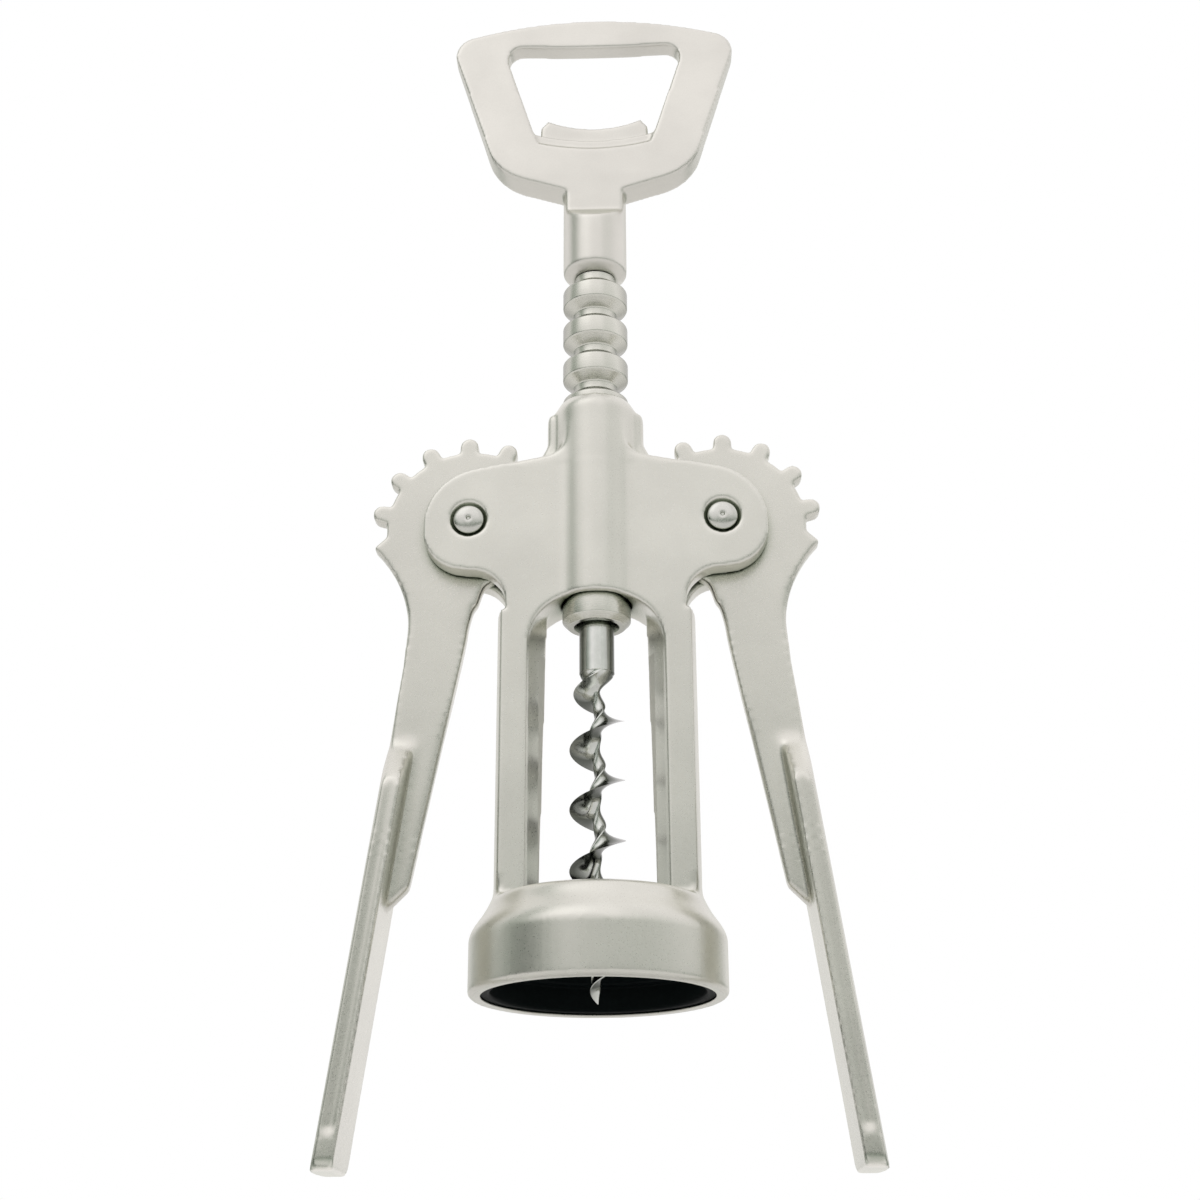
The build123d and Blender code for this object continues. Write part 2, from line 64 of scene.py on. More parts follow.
class Grain(Enum):
    """How the metal was finished: the stretch of its grain along x, y and z."""

    BLASTED = (1.0, 1.0, 1.0)
    TURNED = (0.06, 0.06, 1.6)
    DRAWN = (1.5, 1.5, 0.08)


# ---- node helper ---------------------------------------------------------------------------


class NodeGraph:
    """Small builder for the nodes of one material or world."""

    def __init__(self, tree: bpy.types.NodeTree) -> None:
        """Clear a node tree and keep it.

        Args:
            tree: the node tree to fill.
        """
        self.tree = tree
        tree.nodes.clear()

    def add(self, kind: str, values: Optional[dict] = None, **settings: object) -> bpy.types.Node:
        """Add a node with its settings and its unlinked input values.

        Args:
            kind: the node's type name.
            values: input socket name or index to value.
            settings: attributes of the node.

        Returns:
            The new node.
        """
        node = self.tree.nodes.new(kind)
        for name, value in settings.items():
            setattr(node, name, value)
        for name, value in (values or {}).items():
            node.inputs[name].default_value = value
        return node

    def link(self, source: bpy.types.NodeSocket, target: bpy.types.NodeSocket) -> None:
        """Join an output socket to an input socket."""
        self.tree.links.new(source, target)

    def maths(self, operation: str, first: object, second: object = None, third: object = None,
              clamp: bool = False) -> bpy.types.NodeSocket:
        """Add a Math node whose inputs are sockets or numbers.

        Args:
            operation: the node's operation.
            first: first input, a socket or a number.
            second: second input, if the operation has one.
            third: third input, if the operation has one.
            clamp: whether the result is held between 0 and 1.

        Returns:
            The node's output socket.
        """
        node = self.add("ShaderNodeMath", operation=operation, use_clamp=clamp)
        for index, value in enumerate((first, second, third)):
            if value is None:
                continue
            if isinstance(value, bpy.types.NodeSocket):
                self.link(value, node.inputs[index])
            else:
                node.inputs[index].default_value = value
        return node.outputs[0]

    def ramp(self, factor: bpy.types.NodeSocket, stops: Stops,
             ease: bool = False) -> bpy.types.NodeSocket:
        """Add a colour ramp.

        Args:
            factor: the socket that drives it.
            stops: place and grey value or colour of each stop.
            ease: whether it eases between stops.

        Returns:
            The ramp's colour socket.
        """
        node = self.add("ShaderNodeValToRGB")
        node.color_ramp.interpolation = "EASE" if ease else "LINEAR"
        elements = node.color_ramp.elements
        while len(elements) < len(stops):
            elements.new(0.5)
        for element, (place, value) in zip(elements, sorted(stops, key=lambda stop: stop[0])):
            element.position = place
            element.color = value if isinstance(value, tuple) else (value, value, value, 1.0)
        self.link(factor, node.inputs["Fac"])
        return node.outputs["Color"]

    def blend(self, factor: object, first: object, second: object,
              mode: str = "MIX") -> bpy.types.NodeSocket:
        """Add a colour mix of two colours or sockets.

        Args:
            factor: socket or number.
            first: first colour or socket.
            second: second colour or socket.
            mode: the blend type.

        Returns:
            The mixed colour socket.
        """
        node = self.add("ShaderNodeMix", data_type="RGBA", blend_type=mode)
        for index, value in ((0, factor), (6, first), (7, second)):
            if isinstance(value, bpy.types.NodeSocket):
                self.link(value, node.inputs[index])
            else:
                node.inputs[index].default_value = value
        return node.outputs[2]

    def scaled(self, value: bpy.types.NodeSocket, ends: Point,
               source: Point = (0.0, 1.0)) -> bpy.types.NodeSocket:
        """Map a socket from one range to another and hold it there.

        Args:
            value: the socket.
            ends: what the range's two ends become.
            source: the range that the socket covers.

        Returns:
            The mapped socket.
        """
        node = self.add("ShaderNodeMapRange", {
            "From Min": source[0], "From Max": source[1], "To Min": ends[0], "To Max": ends[1],
        })
        self.link(value, node.inputs["Value"])
        return node.outputs["Result"]

    def noise(self, place: bpy.types.NodeSocket, scale: float, detail: float,
              roughness: float = 0.5) -> bpy.types.NodeSocket:
        """Add a noise texture.

        Args:
            place: the coordinates.
            scale: its scale.
            detail: its number of finer layers.
            roughness: how strong the finer layers are.

        Returns:
            The noise's grey socket.
        """
        node = self.add("ShaderNodeTexNoise", {
            "Scale": scale, "Detail": detail, "Roughness": roughness,
        })
        self.link(place, node.inputs["Vector"])
        return node.outputs["Fac"]

    def split(self, vector: bpy.types.NodeSocket) -> bpy.types.bpy_prop_collection:
        """Split a vector socket and return the sockets X, Y and Z."""
        node = self.add("ShaderNodeSeparateXYZ")
        self.link(vector, node.inputs["Vector"])
        return node.outputs

    def bump(self, height: bpy.types.NodeSocket, strength: float,
             distance: float) -> bpy.types.NodeSocket:
        """Add a bump.

        Args:
            height: the socket of the height.
            strength: the bump's strength.
            distance: the height of 1, in metres.

        Returns:
            The normal socket.
        """
        node = self.add("ShaderNodeBump", {"Strength": strength, "Distance": distance})
        self.link(height, node.inputs["Height"])
        return node.outputs["Normal"]

    def mix(self, factor: bpy.types.NodeSocket, first: bpy.types.NodeSocket,
            second: bpy.types.NodeSocket) -> bpy.types.NodeSocket:
        """Add a mix of two shaders.

        Args:
            factor: the share of the second.
            first: the first shader.
            second: the second shader.

        Returns:
            The mixed shader's socket.
        """
        node = self.add("ShaderNodeMixShader")
        for index, socket in enumerate((factor, first, second)):
            self.link(socket, node.inputs[index])
        return node.outputs[0]

    def surface(self, shader: bpy.types.NodeSocket,
                kind: str = "ShaderNodeOutputMaterial") -> None:
        """Join a shader to the graph's output."""
        self.link(shader, self.add(kind).inputs["Surface"])


def new_material(name: str) -> tuple[bpy.types.Material, NodeGraph]:
    """Make a material and return it with its empty graph."""
    material = bpy.data.materials.new(name)
    material.use_nodes = True
    return material, NodeGraph(material.node_tree)


# ---- finishes ------------------------------------------------------------------------------

NOISE_RANGE = (0.3, 0.7)            # most of a noise texture's values
EDGE_STOPS = ((0.50, 0.0), (0.58, 1.0))      # pointiness from flat to edge
RUBBED: Colour = (1.0, 1.0, 0.97, 1.0)
# Half-dark colour of the painted shade in narrow gaps and corners.
HALF_PAINTED_SHADE: Colour = (0.56, 0.62, 0.54, 1.0)
DEEP_STOP, HALF_STOP, OPEN_STOP = 0.15, 0.45, 0.72      # share of open sky in a crevice, at the stops of the painted crevice shade
PAINTED_SHADE_SAMPLES = 6
SIDEWAYS = 0.7                      # least x of a normal that looks sideways
PAINTED_SHADE_TINT = (0.9, 0.86)          # red and blue for each part of green, in the deepest painted crevice shade
# Tint of the painted shade on surfaces seen edge on.
RIM_SHADE_TINT = (0.95, 0.92)
FACING_BLEND = 0.5
GRAIN_DETAIL, GRAIN_ROUGHNESS = 3.0, 0.6
CLOUD_DETAIL, CLOUD_ROUGHNESS = 4.0, 0.55


def tinted(level: float, tint: Point) -> Colour:
    """Return a grey level with its red and blue changed by the shares of a tint."""
    return level * tint[0], level, level * tint[1], 1.0


def around(middle: float, spread: float) -> Point:
    """Return the two ends of a spread about a middle."""
    return middle - spread, middle + spread


@dataclass(frozen=True)
class SatinMetal:
    """A satin metal with a fine grain, soft cloudiness, edges rubbed a little brighter, and
    painted shade in crevices and on surfaces seen edge on.
    """

    name: str
    colour: Colour
    roughness: float
    grain: Grain = Grain.BLASTED
    grain_size: float = 0.28 * MM
    grain_depth: float = 0.005 * MM
    roughness_spread: float = 0.05
    cloud_size: float = 14 * MM
    cloud_depth: float = 0.05
    edge_gain: float = 0.10
    fleck: float = 0.025
    # Painted shade in narrow gaps and corners: its reach and its darkest tone.
    painted_shade_reach: float = 2.2 * MM
    painted_shade_tone: float = 0.22
    # Painted shade on surfaces seen edge on: its darkest tone and where it starts and ends.
    rim_shade_tone: float = 0.72
    rim_start: float = 0.62
    rim_end: float = 0.97
    raw_reach: float = 0.0
    raw_top: float = 0.0
    raw_roughness: float = 0.3
    # Height below which the painted crevice shade is left off, and the height over which it fades
    # in.
    unshaded_below: float = -1.0
    unshaded_fade: float = 3 * MM

    def rawness(self, graph: NodeGraph, coordinates: bpy.types.Node) -> bpy.types.NodeSocket:
        """Add a mask of the faces between the legs, which no polishing wheel reaches.

        Args:
            graph: the material's nodes.
            coordinates: the Texture Coordinate node.

        Returns:
            A socket that is 1 on those faces and 0 elsewhere.
        """
        place = graph.split(coordinates.outputs["Object"])
        normal = graph.split(coordinates.outputs["Normal"])
        across = graph.maths("ABSOLUTE", place["X"])
        sideways = graph.maths("ABSOLUTE", normal["X"])
        inside = graph.maths("LESS_THAN", across, self.raw_reach)
        below = graph.maths("LESS_THAN", place["Z"], self.raw_top)
        facing = graph.maths("GREATER_THAN", sideways, SIDEWAYS)
        return graph.maths("MULTIPLY", graph.maths("MULTIPLY", inside, below), facing)

    def grain_noise(self, graph: NodeGraph,
                    place: bpy.types.NodeSocket) -> bpy.types.NodeSocket:
        """Add the fine grain that the finishing left.

        Args:
            graph: the material's nodes.
            place: the Object coordinates.

        Returns:
            A socket between 0 and 1.
        """
        stretch = graph.add("ShaderNodeMapping", {"Scale": self.grain.value})
        graph.link(place, stretch.inputs["Vector"])
        return graph.noise(stretch.outputs["Vector"], 1 / self.grain_size, GRAIN_DETAIL,
                           GRAIN_ROUGHNESS)

    def painted_crevice_shade(self, graph: NodeGraph) -> bpy.types.NodeSocket:
        """Return a painted shade that darkens narrow gaps and corners, where shade falls."""
        gap = graph.add("ShaderNodeAmbientOcclusion", {"Distance": self.painted_shade_reach},
                        samples=PAINTED_SHADE_SAMPLES)
        return graph.ramp(gap.outputs["AO"], [
            (DEEP_STOP, tinted(self.painted_shade_tone, PAINTED_SHADE_TINT)),
            (HALF_STOP, HALF_PAINTED_SHADE),
            (OPEN_STOP, WHITE),
        ])

    def painted_rim_shade(self, graph: NodeGraph) -> bpy.types.NodeSocket:
        """Return a painted shade that darkens surfaces seen edge on."""
        facing = graph.add("ShaderNodeLayerWeight", {"Blend": FACING_BLEND}).outputs["Facing"]
        return graph.ramp(facing, [
            (self.rim_start, WHITE),
            (self.rim_end, tinted(self.rim_shade_tone, RIM_SHADE_TINT)),
        ])

    def tone(self, graph: NodeGraph, place: bpy.types.NodeSocket,
             fine: bpy.types.NodeSocket) -> bpy.types.NodeSocket:
        """Mix the metal's colour with clouds, flecks, rubbed edges, and painted shade in crevices
        and on rims seen edge on.

        Args:
            graph: the material's nodes.
            place: the Object coordinates.
            fine: the fine grain.

        Returns:
            The colour socket.
        """
        cloud = graph.noise(place, 1 / self.cloud_size, CLOUD_DETAIL, CLOUD_ROUGHNESS)
        shade = graph.scaled(cloud, around(1, self.cloud_depth), NOISE_RANGE)
        tone = graph.blend(1.0, self.colour, shade, "MULTIPLY")
        fleck = graph.scaled(fine, around(1, self.fleck), NOISE_RANGE)
        tone = graph.blend(1.0, tone, fleck, "MULTIPLY")
        edge = graph.ramp(graph.add("ShaderNodeNewGeometry").outputs["Pointiness"], EDGE_STOPS)
        tone = graph.blend(graph.maths("MULTIPLY", edge, self.edge_gain), tone, RUBBED)
        # Painted shade in narrow gaps and corners, faded out below a given height.
        painted_shade_mask = graph.scaled(graph.split(place)["Z"], (0.0, 1.0),
                            (self.unshaded_below, self.unshaded_below + self.unshaded_fade))
        tone = graph.blend(painted_shade_mask, tone, self.painted_crevice_shade(graph), "MULTIPLY")
        # Painted shade on surfaces seen edge on.
        return graph.blend(1.0, tone, self.painted_rim_shade(graph), "MULTIPLY")

    def build(self) -> bpy.types.Material:
        """Make the material.

        Returns:
            The new material.
        """
        material, graph = new_material(self.name)
        coordinates = graph.add("ShaderNodeTexCoord")
        place = coordinates.outputs["Object"]
        fine = self.grain_noise(graph, place)
        rough = graph.scaled(fine, around(self.roughness, self.roughness_spread),
                             NOISE_RANGE)
        if self.raw_reach > 0:
            raw = graph.maths("MULTIPLY", self.rawness(graph, coordinates), self.raw_roughness)
            rough = graph.maths("ADD", rough, raw)
        shader = graph.add("ShaderNodeBsdfPrincipled", {"Metallic": 1.0})
        graph.link(self.tone(graph, place, fine), shader.inputs["Base Color"])
        graph.link(rough, shader.inputs["Roughness"])
        graph.link(graph.bump(fine, 1.0, self.grain_depth), shader.inputs["Normal"])
        graph.surface(shader.outputs["BSDF"])
        return material


@dataclass(frozen=True)
class LinerPlastic:
    """Near-black moulded plastic with a faint texture."""

    name: str = "liner_plastic"
    colour: Colour = (0.0025, 0.0042, 0.0042, 1.0)
    roughness: float = 0.50
    specular: float = 0.05
    refraction: float = 1.46
    texture_size: float = 0.5 * MM
    texture_depth: float = 0.02 * MM
    texture_detail: float = 3.0
    texture_strength: float = 0.6
    light_share: float = 1.6
    roughness_ends: Point = (-0.05, 0.08)

    def build(self) -> bpy.types.Material:
        """Make the material.

        Returns:
            The new material.
        """
        material, graph = new_material(self.name)
        place = graph.add("ShaderNodeTexCoord").outputs["Object"]
        fine = graph.noise(place, 1 / self.texture_size, self.texture_detail)
        light = tuple(self.light_share * part for part in self.colour[:3]) + (1.0,)
        tone = graph.ramp(fine, tuple(zip(NOISE_RANGE, (self.colour, light))))
        smoother, rougher = self.roughness_ends
        rough = graph.scaled(fine, (self.roughness + smoother, self.roughness + rougher))
        shader = graph.add("ShaderNodeBsdfPrincipled", {
            "IOR": self.refraction, "Specular IOR Level": self.specular,
        })
        graph.link(tone, shader.inputs["Base Color"])
        graph.link(rough, shader.inputs["Roughness"])
        grained = graph.bump(fine, self.texture_strength, self.texture_depth)
        graph.link(grained, shader.inputs["Normal"])
        graph.surface(shader.outputs["BSDF"])
        return material


# Each finish's crevice and rim settings set its painted shade.
CASTING = SatinMetal("cast_satin_nickel", (0.745, 0.742, 0.680, 1.0), 0.31,
                     painted_shade_reach=3.6 * MM, painted_shade_tone=0.08, rim_shade_tone=0.85, rim_start=0.8,
                     raw_reach=9.9 * MM, raw_top=58 * MM)
LEVER = SatinMetal("lever_satin_nickel", (0.740, 0.735, 0.673, 1.0), 0.30,
                   painted_shade_reach=3.0 * MM, painted_shade_tone=0.10, rim_shade_tone=0.80, rim_start=0.8,
                   unshaded_below=-23.0 * MM)
GRIP = SatinMetal("handle_satin_nickel", (0.750, 0.740, 0.685, 1.0), 0.33)
RINGS = SatinMetal("turned_satin_nickel", (0.730, 0.730, 0.665, 1.0), 0.27, grain=Grain.TURNED,
                   roughness_spread=0.03, rim_shade_tone=0.30, rim_start=0.35, painted_shade_tone=0.06)
RIVET = SatinMetal("rivet_nickel", (0.66, 0.665, 0.62, 1.0), 0.24, grain_size=0.4 * MM,
                   rim_shade_tone=0.3, rim_start=0.4)
WORM_STEEL = SatinMetal("worm_steel", (0.72, 0.74, 0.70, 1.0), 0.15, grain=Grain.DRAWN,
                        roughness_spread=0.06, cloud_size=3 * MM, cloud_depth=0.10,
                        rim_shade_tone=0.18, rim_start=0.12, rim_end=0.42, painted_shade_tone=0.03)
LINER = LinerPlastic()


# ---- mesh helpers --------------------------------------------------------------------------

EDGE_SHARE = 0.49                   # most of an edge that one round may use
SMOOTH_FACTOR = 0.5
CASTING_ANGLE = 70.0
WORM_ANGLE = 40.0


def finish_mesh(bm: bmesh.types.BMesh, name: str, finish: bpy.types.Material,
                smooth_angle: float = 32.0) -> bpy.types.Object:
    """Turn a bmesh into an object at the origin, smooth where it is round.

    Args:
        bm: the mesh, which is freed.
        name: the object's name.
        finish: its material.
        smooth_angle: edges sharper than this many degrees stay sharp.

    Returns:
        The new object.
    """
    mesh = bpy.data.meshes.new(name)
    bm.to_mesh(mesh)
    bm.free()
    mesh.materials.clear()
    mesh.materials.append(finish)
    mesh.shade_smooth()
    mesh.set_sharp_from_angle(angle=math.radians(smooth_angle))
    piece = bpy.data.objects.new(name, mesh)
    bpy.context.scene.collection.objects.link(piece)
    return piece


def turn(outline: Sequence[Point], steps: int, closed: bool = True) -> bmesh.types.BMesh:
    """Spin an (r, z) outline in millimetres about the z axis.

    Args:
        outline: the outline's points.
        steps: number of steps round.
        closed: whether the last point joins the first; an open one starts and ends on the axis.

    Returns:
        The closed turned shape, in metres.
    """
    bm = bmesh.new()
    ring = [bm.verts.new((r * MM, 0.0, z * MM)) for r, z in outline]
    pairs = list(zip(ring, ring[1:] + ring[:1])) if closed else list(zip(ring, ring[1:]))
    for first, second in pairs:
        bm.edges.new((first, second))
    bmesh.ops.spin(bm, geom=bm.verts[:] + bm.edges[:], cent=(0, 0, 0), axis=(0, 0, 1),
                   angle=FULL_TURN, steps=steps, use_merge=True)
    bmesh.ops.remove_doubles(bm, verts=bm.verts[:], dist=MERGE_DISTANCE)
    bmesh.ops.recalc_face_normals(bm, faces=bm.faces[:])
    return bm


def join(bm: bmesh.types.BMesh, other: bmesh.types.BMesh) -> None:
    """Add another bmesh's shape to a bmesh and free the other."""
    carrier = bpy.data.meshes.new("carrier")
    other.to_mesh(carrier)
    other.free()
    bm.from_mesh(carrier)
    bpy.data.meshes.remove(carrier)


def eased(points: Sequence[Point], radii: Sequence[float], steps: int = 4) -> list[Point]:
    """Round the corners of a closed outline.

    Args:
        points: the outline's corners.
        radii: the radius at each corner, 0 for a sharp one.
        steps: number of chords in each round.

    Returns:
        The outline with arcs at its corners.
    """
    result: list[Point] = []
    count = len(points)
    for index, (point, radius) in enumerate(zip(points, radii)):
        here = Vector(point)
        before = Vector(points[index - 1]) - here
        after = Vector(points[(index + 1) % count]) - here
        if radius <= 0:
            result.append(point)
            continue
        half = before.angle(after) / 2
        reach = min(radius / math.tan(half), EDGE_SHARE * before.length,
                    EDGE_SHARE * after.length)
        round_radius = reach * math.tan(half)
        start = here + before.normalized() * reach
        end = here + after.normalized() * reach
        centre = here + (before.normalized() + after.normalized()).normalized() * (
            round_radius / math.sin(half))
        for step in range(steps + 1):
            share = step / steps
            spoke = (start - centre).slerp(end - centre, share).normalized()
            result.append(tuple(centre + spoke * round_radius))
    return result


# ---- castings ------------------------------------------------------------------------------


@dataclass(frozen=True)
class Zone:
    """A band of heights in millimetres that gets its own number of rounding passes."""

    low: float
    high: float
    passes: int
    least_radius: float = 0.0

    def holds(self, place: Vector) -> bool:
        """Return whether a place in metres lies in the zone."""
        return (self.low * MM < place.z < self.high * MM
                and place.xy.length >= self.least_radius * MM)


@dataclass
class SoftCasting:
    """A casting whose CAD mesh gets the soft edges and small fillets of tumbled metal."""

    node: str
    body: str
    finish: SatinMetal
    grid: float = 0.32
    zones: Sequence[Zone] = (Zone(-60.0, 220.0, 5),)
    kept_share: float = 1.0

    def shape(self, bm: bmesh.types.BMesh) -> None:
        """Change the even mesh before it is softened; a plain casting needs nothing."""

    def extra(self) -> Optional[bmesh.types.BMesh]:
        """Return a shape to join to the casting; a plain one has none."""
        return None

    def reworked(self, bm: bmesh.types.BMesh, kind: str, **settings: object) -> None:
        """Put a bmesh's shape through one modifier and read it back.

        Args:
            bm: the shape, which is replaced.
            kind: the modifier's type.
            settings: attributes of the modifier.
        """
        before = bpy.data.meshes.new(f"{self.node}_before")
        bm.to_mesh(before)
        holder = bpy.data.objects.new(f"{self.node}_holder", before)
        bpy.context.scene.collection.objects.link(holder)
        modifier = holder.modifiers.new("rework", kind)
        for name, value in settings.items():
            setattr(modifier, name, value)
        ready = holder.evaluated_get(bpy.context.evaluated_depsgraph_get())
        after = bpy.data.meshes.new_from_object(ready)
        bm.clear()
        bm.from_mesh(after)
        bpy.data.objects.remove(holder)
        bpy.data.meshes.remove(after)
        bpy.data.meshes.remove(before)

    def build(self) -> bpy.types.Object:
        """Copy the node's mesh, merge it, soften it and dress it.

        Returns:
            The piece, riding on the casting's body.
        """
        bm = bmesh.new()
        bm.from_mesh(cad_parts[self.node].data)
        bmesh.ops.remove_doubles(bm, verts=bm.verts[:], dist=MERGE_DISTANCE)
        self.reworked(bm, "REMESH", mode="VOXEL", voxel_size=self.grid * MM)
        self.shape(bm)
        for zone in self.zones:
            verts = [vert for vert in bm.verts if zone.holds(vert.co)]
            for _ in range(zone.passes):
                bmesh.ops.smooth_vert(bm, verts=verts, factor=SMOOTH_FACTOR, use_axis_x=True,
                                      use_axis_y=True, use_axis_z=True)
        if self.kept_share < 1:
            self.reworked(bm, "DECIMATE", ratio=self.kept_share)
        bmesh.ops.recalc_face_normals(bm, faces=bm.faces[:])
        added = self.extra()
        if added is not None:
            join(bm, added)
        piece = finish_mesh(bm, f"{self.node}_casting", self.finish.build(),
                            smooth_angle=CASTING_ANGLE)
        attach(piece, self.body)
        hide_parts(self.node)
        return piece


@dataclass
class FrameCasting(SoftCasting):
    """The frame, with a rolled lip under the liner and a relief at the hub's mouth."""

    relief_low: float = 56.0
    relief_high: float = 61.5
    relief_reach: float = 6.5
    relief_width: float = 0.5
    lip_low: float = 0.05
    lip_radius: float = 18.95
    lip_outer: float = 20.1
    lip_height: float = 0.42
    lip_rounds: Sequence[float] = (0.16, 0.0, 0.0, 0.12)
    lip_steps: int = 128

    def shape(self, bm: bmesh.types.BMesh) -> None:
        """Open the hub's mouth a little round the sleeve.

        Args:
            bm: the even mesh.
        """
        span = self.relief_high - self.relief_low
        for vert in bm.verts:
            height = vert.co.z / MM
            reach = vert.co.xy.length / MM
            if self.relief_low < height < self.relief_high and reach < self.relief_reach:
                wider = 1 + self.relief_width * (self.relief_high - height) / span / reach
                vert.co.x *= wider
                vert.co.y *= wider

    def extra(self) -> bmesh.types.BMesh:
        """Return the rolled lip under the liner."""
        points = [(self.lip_radius, self.lip_low), (self.lip_outer, 0.0),
                  (self.lip_outer, self.lip_height), (self.lip_radius, self.lip_height)]
        return turn(eased(points, self.lip_rounds), self.lip_steps)


# Zones that lie in one another round a place more than its neighbours without a step.
FRAME_ZONES = (
    Zone(-1.0, 1.2, 1),
    Zone(1.2, 120.0, 3),
    Zone(8.8, 19.0, 8, least_radius=16.0),
    Zone(9.4, 18.4, 8, least_radius=16.0),
    Zone(10.0, 17.8, 8, least_radius=16.0),
    Zone(93.0, 120.0, 10, least_radius=6.6),
)
LEVER_ZONES = (
    Zone(-60.0, 220.0, 8),
    Zone(-22.0, 22.0, 6),
    Zone(-18.0, 50.0, 4),
    Zone(22.0, 48.0, 8),
    Zone(24.0, 46.0, 8),
    Zone(26.0, 44.0, 8),
    Zone(58.0, 74.0, 6),
    Zone(60.0, 72.0, 8),
    Zone(62.0, 70.0, 8),
)


# ---- turned pieces -------------------------------------------------------------------------


@dataclass
class RackSleeve:
    """The ringed sleeve, with every ring's edges eased as turned ones are."""

    radius: float = 5.95
    root_radius: float = 3.9
    root_width: float = 1.5
    groove_width: float = 4.3
    bottom: float = 63.5
    bottom_chamfer: float = 1.0
    first_groove: float = 71.465
    pitch: float = 7.605
    grooves: int = 9
    bore_radius: float = 2.56
    socket_radius: float = 3.33
    socket_depth: float = 3.7
    mouth_radius: float = 3.95
    mouth_rise: float = 1.2
    ring_round: float = 0.55
    root_round: float = 0.5
    bottom_rounds: Point = (0.3, 0.4)
    mouth_rounds: Point = (0.6, 0.15)
    steps: int = 96

    def outline(self) -> list[Point]:
        """Return the sleeve's outline with its rounds."""
        points: list[Point] = [(self.radius - self.bottom_chamfer, self.bottom),
                               (self.radius, self.bottom + self.bottom_chamfer)]
        radii = list(self.bottom_rounds)
        for index in range(self.grooves):
            middle = self.first_groove + index * self.pitch
            top_groove = index == self.grooves - 1
            points += [(self.radius, middle - self.groove_width / 2),
                       (self.root_radius, middle - self.root_width / 2),
                       (self.root_radius, middle + self.root_width / 2)]
            radii += [self.ring_round, self.root_round, 0.0 if top_groove else self.root_round]
            if not top_groove:
                points.append((self.radius, middle + self.groove_width / 2))
                radii.append(self.ring_round)
        shoulder = self.bottom + self.socket_depth
        points += [(self.bore_radius, points[-1][1]), (self.bore_radius, shoulder),
                   (self.socket_radius, shoulder),
                   (self.socket_radius, self.bottom + self.mouth_rise),
                   (self.mouth_radius, self.bottom)]
        radii += [0.0, 0.0, 0.0, *self.mouth_rounds]
        return eased(points, radii)

    def build(self) -> bpy.types.Object:
        """Turn the sleeve and dress it.

        Returns:
            The piece, riding on the rack.
        """
        piece = finish_mesh(turn(self.outline(), self.steps), "rack_sleeve_turned", RINGS.build())
        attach(piece, "rack")
        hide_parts("rack_sleeve")
        return piece


@dataclass
class BottleCollar:
    """The dark plastic liner of the bell, with eased steps."""

    outer_radius: float = 19.8
    skirt_radius: float = 17.4
    finish_radius: float = 15.3
    way_radius: float = 12.2
    low: float = 0.5
    ledge: float = 4.7
    flange_low: float = 11.3
    cone_low: float = 9.3
    top: float = 12.7
    top_radius: float = 17.5
    rounds: Sequence[float] = (0.5, 0.15, 0.0, 0.0, 0.2, 0.3, 0.4, 0.45, 0.4)
    steps: int = 128

    def build(self) -> bpy.types.Object:
        """Turn the liner and dress it.

        Returns:
            The piece, riding on the frame's body.
        """
        points = [(self.skirt_radius, self.low), (self.outer_radius, self.low),
                  (self.outer_radius, self.cone_low), (self.top_radius, self.top),
                  (self.way_radius, self.top), (self.way_radius, self.flange_low),
                  (self.finish_radius, self.flange_low), (self.finish_radius, self.ledge),
                  (self.skirt_radius, self.ledge)]
        shape = turn(eased(points, self.rounds), self.steps)
        piece = finish_mesh(shape, "bottle_collar_moulding", LINER.build())
        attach(piece, "frame_body")
        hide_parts("bottle_collar")
        return piece


@dataclass
class Rivet:
    """A lever's rivet: a domed head with a small dimple at each end."""

    side: Side
    pivot_x: float = 22.2
    pivot_z: float = 82.3
    radius: float = 2.25
    head_radius: float = 2.65
    head_low: float = 4.6
    head_edge: float = 5.15
    dome_top: float = 5.9
    dimple_radius: float = 0.42
    dimple_depth: float = 0.28
    dimple_lip: float = 1.3
    dimple_drop: float = 0.05
    dimple_floor: float = 0.6
    steps: int = 64
    dome_steps: int = 8

    def half_outline(self) -> list[Point]:
        """Return the (r, z) outline of one half, from the mid-plane to the dimple's bottom."""
        points: list[Point] = [(self.radius, 0.0), (self.radius, self.head_low),
                               (self.head_radius, self.head_low),
                               (self.head_radius, self.head_edge)]
        rise = self.dome_top - self.head_edge
        lip = self.dimple_radius * self.dimple_lip
        bottom = self.dome_top - self.dimple_depth
        for step in range(1, self.dome_steps + 1):
            angle = step / self.dome_steps * math.pi / 2
            r = self.head_radius * math.cos(angle)
            if r <= lip:
                break
            points.append((r, self.head_edge + rise * math.sin(angle)))
        points += [(lip, self.dome_top), (self.dimple_radius, self.dome_top - self.dimple_drop),
                   (self.dimple_radius * self.dimple_floor, bottom), (0.0, bottom)]
        return points

    def build(self) -> bpy.types.Object:
        """Turn the rivet about Y through the lever's pivot and dress it.

        Returns:
            The piece, riding on the frame's body.
        """
        half = self.half_outline()
        outline = [(r, -z) for r, z in reversed(half)] + half[1:]
        bm = turn(outline, self.steps, closed=False)
        place = Matrix.Translation((self.side.value * self.pivot_x * MM, 0, self.pivot_z * MM))
        bmesh.ops.transform(bm, matrix=place @ Matrix.Rotation(math.pi / 2, 4, "X"),
                            verts=bm.verts[:])
        name = f"{self.side.name.lower()}_rivet"
        piece = finish_mesh(bm, f"{name}_domed", RIVET.build())
        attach(piece, "frame_body")
        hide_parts(name)
        return piece


# ---- worm ----------------------------------------------------------------------------------


